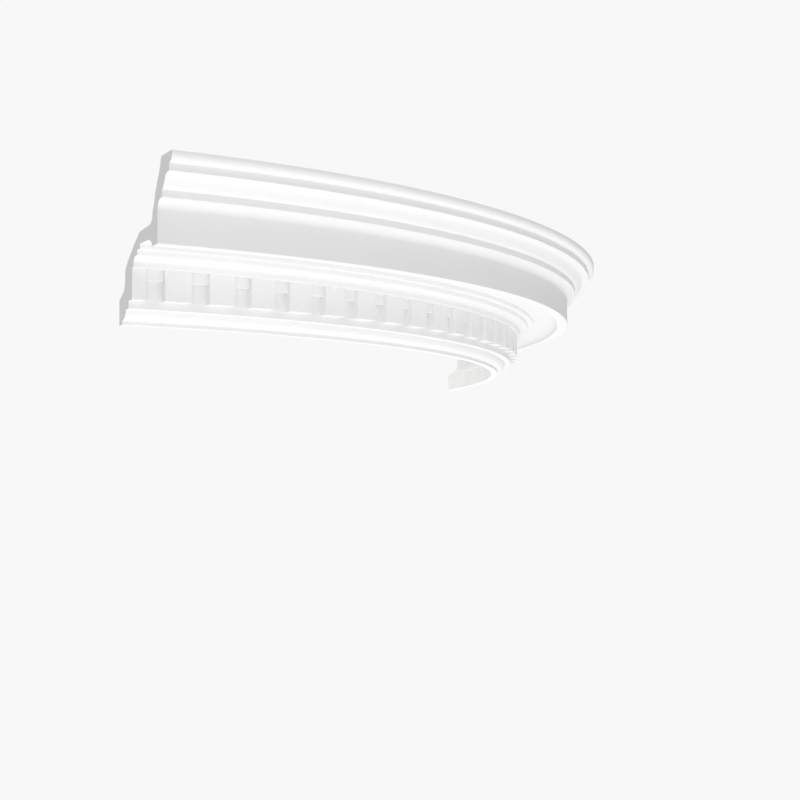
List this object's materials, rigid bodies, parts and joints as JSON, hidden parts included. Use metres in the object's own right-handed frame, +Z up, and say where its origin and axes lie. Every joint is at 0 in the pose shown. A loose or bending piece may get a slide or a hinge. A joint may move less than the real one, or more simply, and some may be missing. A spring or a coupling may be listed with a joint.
{
  "type": "cornice moulding length",
  "caption": "Curved length of dentil cornice: stepped crown, plain corona, drip groove, dentil band and hollow back, for the angle of a ceiling and a round wall.",
  "frame": {"origin": "middle of the ceiling land, the flat top strip, at mid-length", "axes": "+Z up to the ceiling, +Y into the wall at mid-length, +X along the run to the right as seen from the front"},
  "size_m": [1.5406, 0.4239, 0.178],
  "materials": {
    "white_polyurethane": "cast polyurethane with a matt white primer coat"
  },
  "bodies": {
    "root": {"cornice_moulding": "white_polyurethane"}
  },
  "joints": []
}
